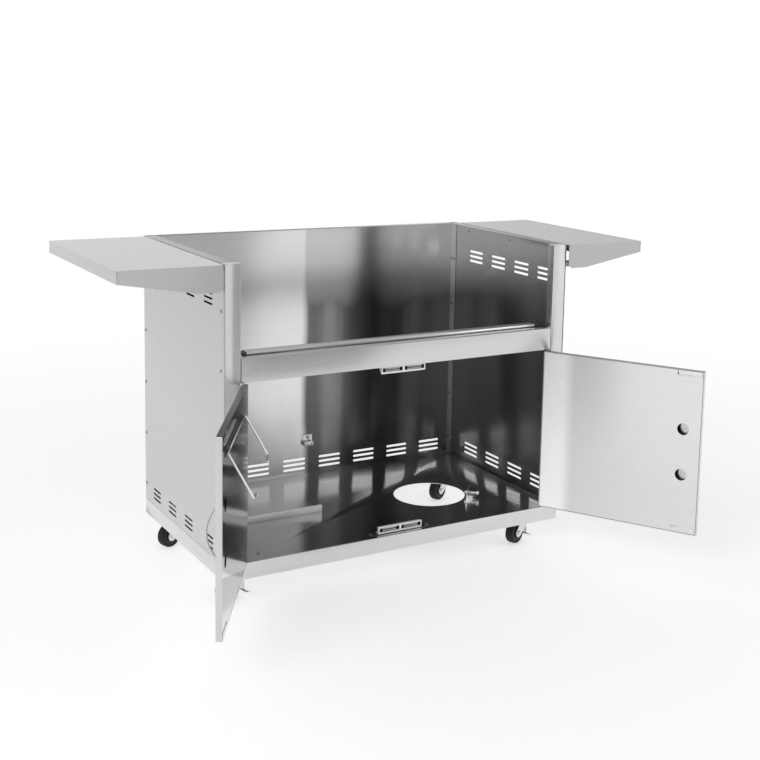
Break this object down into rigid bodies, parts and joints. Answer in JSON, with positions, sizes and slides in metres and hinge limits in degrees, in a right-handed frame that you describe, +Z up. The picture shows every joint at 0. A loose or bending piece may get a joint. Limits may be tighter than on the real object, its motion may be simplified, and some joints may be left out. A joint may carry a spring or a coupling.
{
  "type": "grill cart",
  "caption": "Stainless steel cart on casters: open-top cabinet with pin-hinged doors, fold-down side shelves, vents, magnet catches, a cylinder hole and a wire roll holder.",
  "frame": {"origin": "on the ground, under the middle of the whole cart's box with both doors open as in the picture", "axes": "+X to the cart's right as seen from the front, +Y from the doors towards the back, +Z up"},
  "size_m": [1.564, 1.0135, 0.8795],
  "materials": {
    "panel": "brushed stainless steel, satin",
    "pan": "bright stainless steel sheet",
    "shelf": "brushed stainless steel, fine grain",
    "door": "brushed stainless steel",
    "liner": "semi-bright stainless steel sheet",
    "zinc": "bright zinc plate",
    "wire": "bright plated wire",
    "handle": "satin stainless bar",
    "catch": "white moulded plastic",
    "magnet": "dark ferrite with steel faces",
    "dark": "dark zinc bracket",
    "tread": "black moulded rubber"
  },
  "bodies": {
    "cart": {"base_pan": "pan", "side_panel_left": "panel", "side_panel_right": "panel", "rear_panel": "panel", "stile_left": "panel", "stile_right": "panel", "top_rail": "panel", "support_channel": "pan", "channel_brackets": "dark", "hinge_washers": "catch", "catch_bracket_top": "zinc", "catch_bracket_bottom": "zinc", "catch_top": "catch", "catch_bottom": "catch", "catch_magnets": "magnet", "stop_rail": "pan", "clamp_bracket": "zinc", "hose_clip": "zinc", "panel_screws": "zinc", "shelf_bracket_left": "shelf", "shelf_bracket_right": "shelf", "caster_plate_fl": "zinc", "caster_plate_fr": "zinc", "caster_plate_rl": "zinc", "caster_plate_rr": "zinc", "caster_bolts": "zinc", "caster_beams": "zinc"},
    "clamp": {"clamp_screw": "zinc"},
    "left_shelf": {"shelf_left": "shelf", "shelf_pins_left": "zinc"},
    "right_shelf": {"shelf_right": "shelf", "shelf_pins_right": "zinc"},
    "left_door": {"door_left_skin": "door", "door_left_liner": "liner", "door_left_handle": "handle", "door_left_screws": "zinc", "door_left_pins": "zinc", "door_left_strikes": "liner", "holder_clips": "zinc"},
    "right_door": {"door_right_skin": "door", "door_right_liner": "liner", "door_right_handle": "handle", "door_right_screws": "zinc", "door_right_pins": "zinc", "door_right_strikes": "liner"},
    "holder": {"holder_bail": "wire"},
    "swivel_fl": {"caster_fork_fl": "zinc", "caster_axle_fl": "zinc"},
    "wheel_fl": {"caster_wheel_fl": "tread"},
    "brake_fl": {"brake_lever_fl": "zinc"},
    "swivel_fr": {"caster_fork_fr": "zinc", "caster_axle_fr": "zinc"},
    "wheel_fr": {"caster_wheel_fr": "tread"},
    "brake_fr": {"brake_lever_fr": "zinc"},
    "swivel_rl": {"caster_fork_rl": "zinc", "caster_axle_rl": "zinc"},
    "wheel_rl": {"caster_wheel_rl": "tread"},
    "swivel_rr": {"caster_fork_rr": "zinc", "caster_axle_rr": "zinc"},
    "wheel_rr": {"caster_wheel_rr": "tread"}
  },
  "joints": [
    {"name": "door_left_hinge", "type": "hinge", "parent": "cart", "child": "left_door", "pos_m": [-0.4641, -0.0892, 0.3476], "axis": [0, 0, 1], "range_deg": [-2.5, 119.5]},
    {"name": "door_right_hinge", "type": "hinge", "parent": "cart", "child": "right_door", "pos_m": [0.4641, -0.0892, 0.3476], "axis": [0, 0, 1], "range_deg": [-120.5, 1.5]},
    {"name": "shelf_left_fold", "type": "hinge", "parent": "cart", "child": "left_shelf", "pos_m": [-0.53, 0.1901, 0.8249], "axis": [0, -1, 0], "range_deg": [0, 90]},
    {"name": "shelf_right_fold", "type": "hinge", "parent": "cart", "child": "right_shelf", "pos_m": [0.53, 0.1901, 0.8249], "axis": [0, 1, 0], "range_deg": [0, 90]},
    {"name": "holder_swing", "type": "hinge", "parent": "left_door", "child": "holder", "pos_m": [-0.58394, -0.33311, 0.5345], "axis": [-0.4924, -0.8704, 0], "range_deg": [-27, 63]},
    {"name": "clamp_travel", "type": "slide", "parent": "cart", "child": "clamp", "axis": [-0.766, 0.6428, 0], "range_m": [-0.003, 0.01]},
    {"name": "swivel_fl_turn", "type": "hinge", "parent": "cart", "child": "swivel_fl", "pos_m": [-0.445, -0.0229, 0.08], "axis": [0, 0, 1], "continuous": true},
    {"name": "wheel_fl_spin", "type": "hinge", "parent": "swivel_fl", "child": "wheel_fl", "pos_m": [-0.48447, -0.03726, 0.0325], "axis": [0.342, -0.9397, 0], "continuous": true},
    {"name": "brake_fl_press", "type": "hinge", "parent": "swivel_fl", "child": "brake_fl", "pos_m": [-0.45064, -0.02495, 0.056], "axis": [-0.342, 0.9397, 0], "range_deg": [0, 18]},
    {"name": "swivel_fr_turn", "type": "hinge", "parent": "cart", "child": "swivel_fr", "pos_m": [0.445, -0.0229, 0.08], "axis": [0, 0, 1], "continuous": true},
    {"name": "wheel_fr_spin", "type": "hinge", "parent": "swivel_fr", "child": "wheel_fr", "pos_m": [0.40634, -0.03931, 0.0325], "axis": [0.3907, -0.9205, 0], "continuous": true},
    {"name": "brake_fr_press", "type": "hinge", "parent": "swivel_fr", "child": "brake_fr", "pos_m": [0.43948, -0.02524, 0.056], "axis": [-0.3907, 0.9205, 0], "range_deg": [0, 18]},
    {"name": "swivel_rl_turn", "type": "hinge", "parent": "cart", "child": "swivel_rl", "pos_m": [-0.445, 0.4131, 0.08], "axis": [0, 0, 1], "continuous": true},
    {"name": "wheel_rl_spin", "type": "hinge", "parent": "swivel_rl", "child": "wheel_rl", "pos_m": [-0.48447, 0.39874, 0.0325], "axis": [0.342, -0.9397, 0], "continuous": true},
    {"name": "swivel_rr_turn", "type": "hinge", "parent": "cart", "child": "swivel_rr", "pos_m": [0.445, 0.4131, 0.08], "axis": [0, 0, 1], "continuous": true},
    {"name": "wheel_rr_spin", "type": "hinge", "parent": "swivel_rr", "child": "wheel_rr", "pos_m": [0.40693, 0.39535, 0.0325], "axis": [0.4226, -0.9063, 0], "continuous": true}
  ]
}
